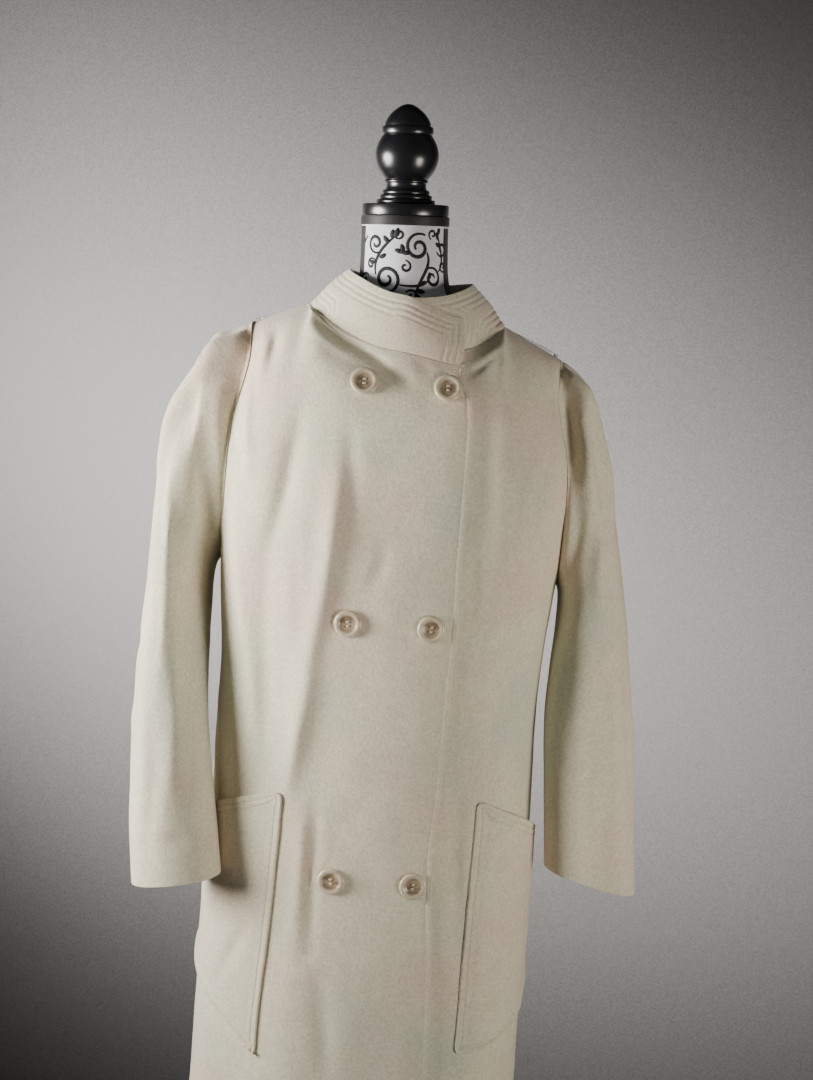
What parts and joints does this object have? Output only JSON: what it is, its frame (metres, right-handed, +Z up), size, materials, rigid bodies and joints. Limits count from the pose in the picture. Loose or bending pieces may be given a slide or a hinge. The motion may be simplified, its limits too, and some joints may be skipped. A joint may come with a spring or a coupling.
{
  "type": "long wool coat on a limbless dress form with stand",
  "caption": "Long double-breasted wool coat with a funnel collar and large patch pockets, worn on a limbless dress form with a turned finial and a round-based stand.",
  "frame": {"origin": "middle of the stand's flat underside, on the floor", "axes": "+Z up along the stand's pole, the coat's front faces -Y, the wearer's left side is +X"},
  "size_m": [0.6136, 0.34, 1.6246],
  "materials": {
    "wool": "matte brushed wool",
    "horn": "semi-gloss horn",
    "cover": "printed woven cover",
    "ribbon": "black ribbon",
    "lacquer": "black gloss lacquer",
    "stand": "black semi-gloss paint"
  },
  "bodies": {
    "root": {"front_right": "wool", "front_left": "wool", "back": "wool", "sleeve_left": "wool", "sleeve_right": "wool", "collar": "wool", "pocket_left": "wool", "pocket_right": "wool", "button_1_a": "horn", "button_1_b": "horn", "button_2_a": "horn", "button_2_b": "horn", "button_3_a": "horn", "button_3_b": "horn", "form_body": "cover", "neck_band": "ribbon", "neck_disc": "lacquer", "finial": "lacquer", "pole": "stand", "base": "stand"}
  },
  "joints": []
}
